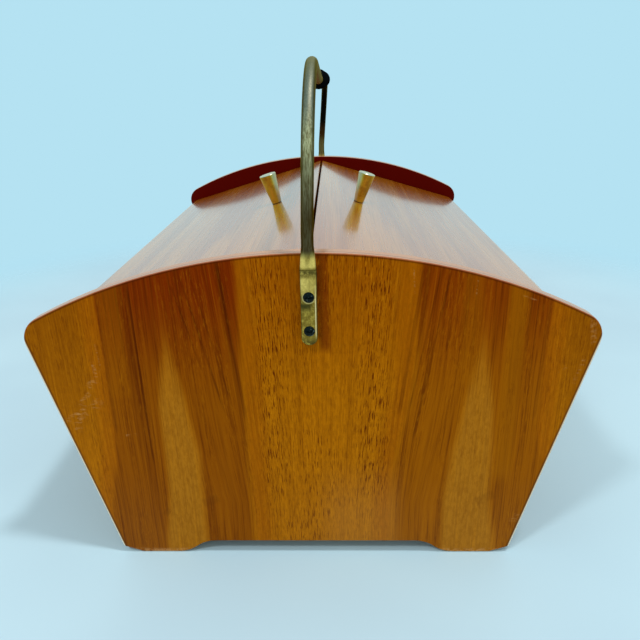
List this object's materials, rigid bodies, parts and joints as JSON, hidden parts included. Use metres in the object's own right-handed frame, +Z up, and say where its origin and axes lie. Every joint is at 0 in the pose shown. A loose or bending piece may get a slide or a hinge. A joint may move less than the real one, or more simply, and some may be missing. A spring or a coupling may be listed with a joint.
{
  "type": "sewing box",
  "caption": "Wooden sewing box on arched end panels, with two sloping hinged lids, conical brass knobs, a brass rod handle with a black grip and a sliding inner tray.",
  "frame": {"origin": "on the floor under the middle of the box", "axes": "+X across the box to its right, +Y along it from the front end to the rear end, +Z up"},
  "size_m": [0.2618, 0.3688, 0.2407],
  "materials": {
    "panel_veneer": "satin varnish over teak veneer, worn at the edges",
    "wall_veneer": "satin varnish over teak veneer",
    "lid_veneer": "semi-gloss lacquer over teak veneer",
    "inner_wood": "planed light wood, bare",
    "brass": "polished, aged to a mottled olive gold",
    "grip_black": "glossy black",
    "blackened_steel": "blackened",
    "screw_steel": "plain, zinc plated"
  },
  "bodies": {
    "case": {"front_end_panel": "panel_veneer", "rear_end_panel": "panel_veneer", "left_side_wall": "wall_veneer", "right_side_wall": "wall_veneer", "front_panel_dowels": "inner_wood", "rear_panel_dowels": "inner_wood", "bottom_board": "inner_wood", "front_left_lid_rest": "inner_wood", "front_right_lid_rest": "inner_wood", "rear_left_lid_rest": "inner_wood", "rear_right_lid_rest": "inner_wood", "left_tray_rail": "inner_wood", "right_tray_rail": "inner_wood", "handle_rod": "brass", "left_front_hinge_wall_leaf": "brass", "left_front_hinge_pin": "brass", "left_rear_hinge_wall_leaf": "brass", "left_rear_hinge_pin": "brass", "right_front_hinge_wall_leaf": "brass", "right_front_hinge_pin": "brass", "right_rear_hinge_wall_leaf": "brass", "right_rear_hinge_pin": "brass", "left_wall_hinge_screws": "brass", "right_wall_hinge_screws": "brass", "handle_grip": "grip_black", "handle_screws": "blackened_steel"},
    "left_lid_body": {"left_lid": "lid_veneer", "left_knob": "brass", "left_knob_screw": "screw_steel", "left_front_hinge_lid_leaf": "brass", "left_rear_hinge_lid_leaf": "brass", "left_lid_hinge_screws": "brass"},
    "right_lid_body": {"right_lid": "lid_veneer", "right_knob": "brass", "right_knob_screw": "screw_steel", "right_front_hinge_lid_leaf": "brass", "right_rear_hinge_lid_leaf": "brass", "right_lid_hinge_screws": "brass"},
    "tray_body": {"tray_bottom": "inner_wood", "tray_front": "inner_wood", "tray_rear": "inner_wood", "tray_left_side": "inner_wood", "tray_right_side": "inner_wood", "tray_cross_divider": "inner_wood", "tray_front_divider": "inner_wood", "tray_rear_left_divider": "inner_wood", "tray_rear_right_divider": "inner_wood"}
  },
  "joints": [
    {"name": "left_lid_hinge", "type": "hinge", "parent": "case", "child": "left_lid_body", "pos_m": [-0.12788, 0, 0.11363], "axis": [0, -1, 0], "range_deg": [0, 180]},
    {"name": "right_lid_hinge", "type": "hinge", "parent": "case", "child": "right_lid_body", "pos_m": [0.12788, 0, 0.11363], "axis": [0, 1, 0], "range_deg": [0, 180]},
    {"name": "tray_slide", "type": "slide", "parent": "case", "child": "tray_body", "axis": [0, 1, 0], "range_m": [0, 0.172]}
  ]
}
